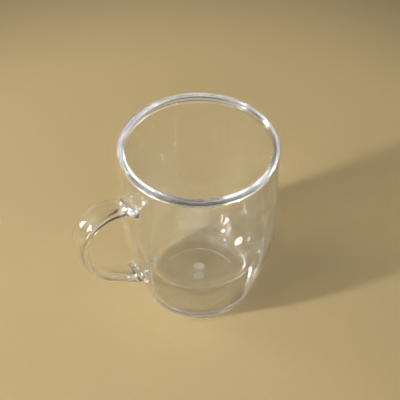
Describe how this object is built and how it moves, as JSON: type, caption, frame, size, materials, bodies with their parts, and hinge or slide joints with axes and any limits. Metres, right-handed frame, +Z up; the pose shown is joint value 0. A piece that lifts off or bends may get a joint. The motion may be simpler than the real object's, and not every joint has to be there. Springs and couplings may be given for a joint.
{
  "type": "insulated mug",
  "caption": "Clear insulated drinking mug: a tapered outer shell around a bowl-shaped inner cup, welded at the rim, with an oval strap handle cemented to the wall.",
  "frame": {"origin": "middle of the foot ring, on the axis of the cup, on the surface that the mug stands on", "axes": "+Z up out of the mouth, -X towards the handle, +Y across the handle"},
  "size_m": [0.1202, 0.0868, 0.108],
  "materials": {
    "shell_acrylic": "clear gloss",
    "cup_acrylic": "clear gloss",
    "weld_acrylic": "clear gloss",
    "handle_acrylic": "clear gloss",
    "bond_cement": "clear gloss"
  },
  "bodies": {
    "root": {"outer_shell": "shell_acrylic", "inner_cup": "cup_acrylic", "rim_weld": "weld_acrylic", "handle": "handle_acrylic", "upper_handle_bond": "bond_cement", "lower_handle_bond": "bond_cement"}
  },
  "joints": []
}
